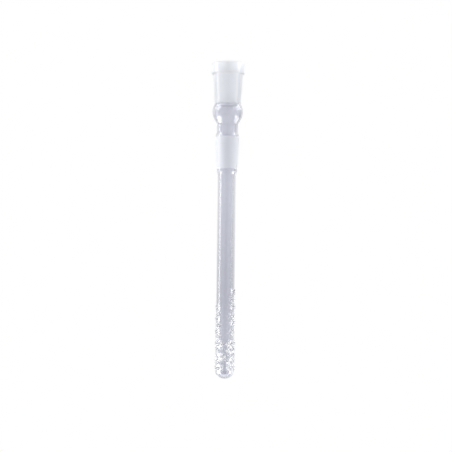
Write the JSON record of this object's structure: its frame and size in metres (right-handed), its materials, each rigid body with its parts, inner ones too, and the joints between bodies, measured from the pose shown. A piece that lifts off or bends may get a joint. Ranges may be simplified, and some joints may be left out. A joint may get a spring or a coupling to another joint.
{
  "type": "ground-joint gas diffuser tube",
  "caption": "Glass gas inlet tube: ground socket and bulb on top, ground cone to seat it in a vessel, and a long stem that ends in a closed, perforated diffuser.",
  "frame": {"origin": "on the axis, at the gauge plane of the ground cone, where the cone is widest", "axes": "+Z along the bore towards the socket's mouth; +X to the right and -Y to the front, where the large diffuser hole is just left of the middle"},
  "size_m": [0.0198, 0.0198, 0.192],
  "materials": {
    "clear_glass": "clear, fire-polished",
    "ground_glass": "frosted by grinding"
  },
  "bodies": {
    "root": {"mouth_rim": "ground_glass", "ground_socket": "ground_glass", "expansion_bulb": "clear_glass", "neck_tube": "clear_glass", "ground_cone": "ground_glass", "cone_shoulder": "clear_glass", "stem_tube": "clear_glass", "diffuser_tube": "clear_glass", "diffuser_tip": "clear_glass"}
  },
  "joints": []
}
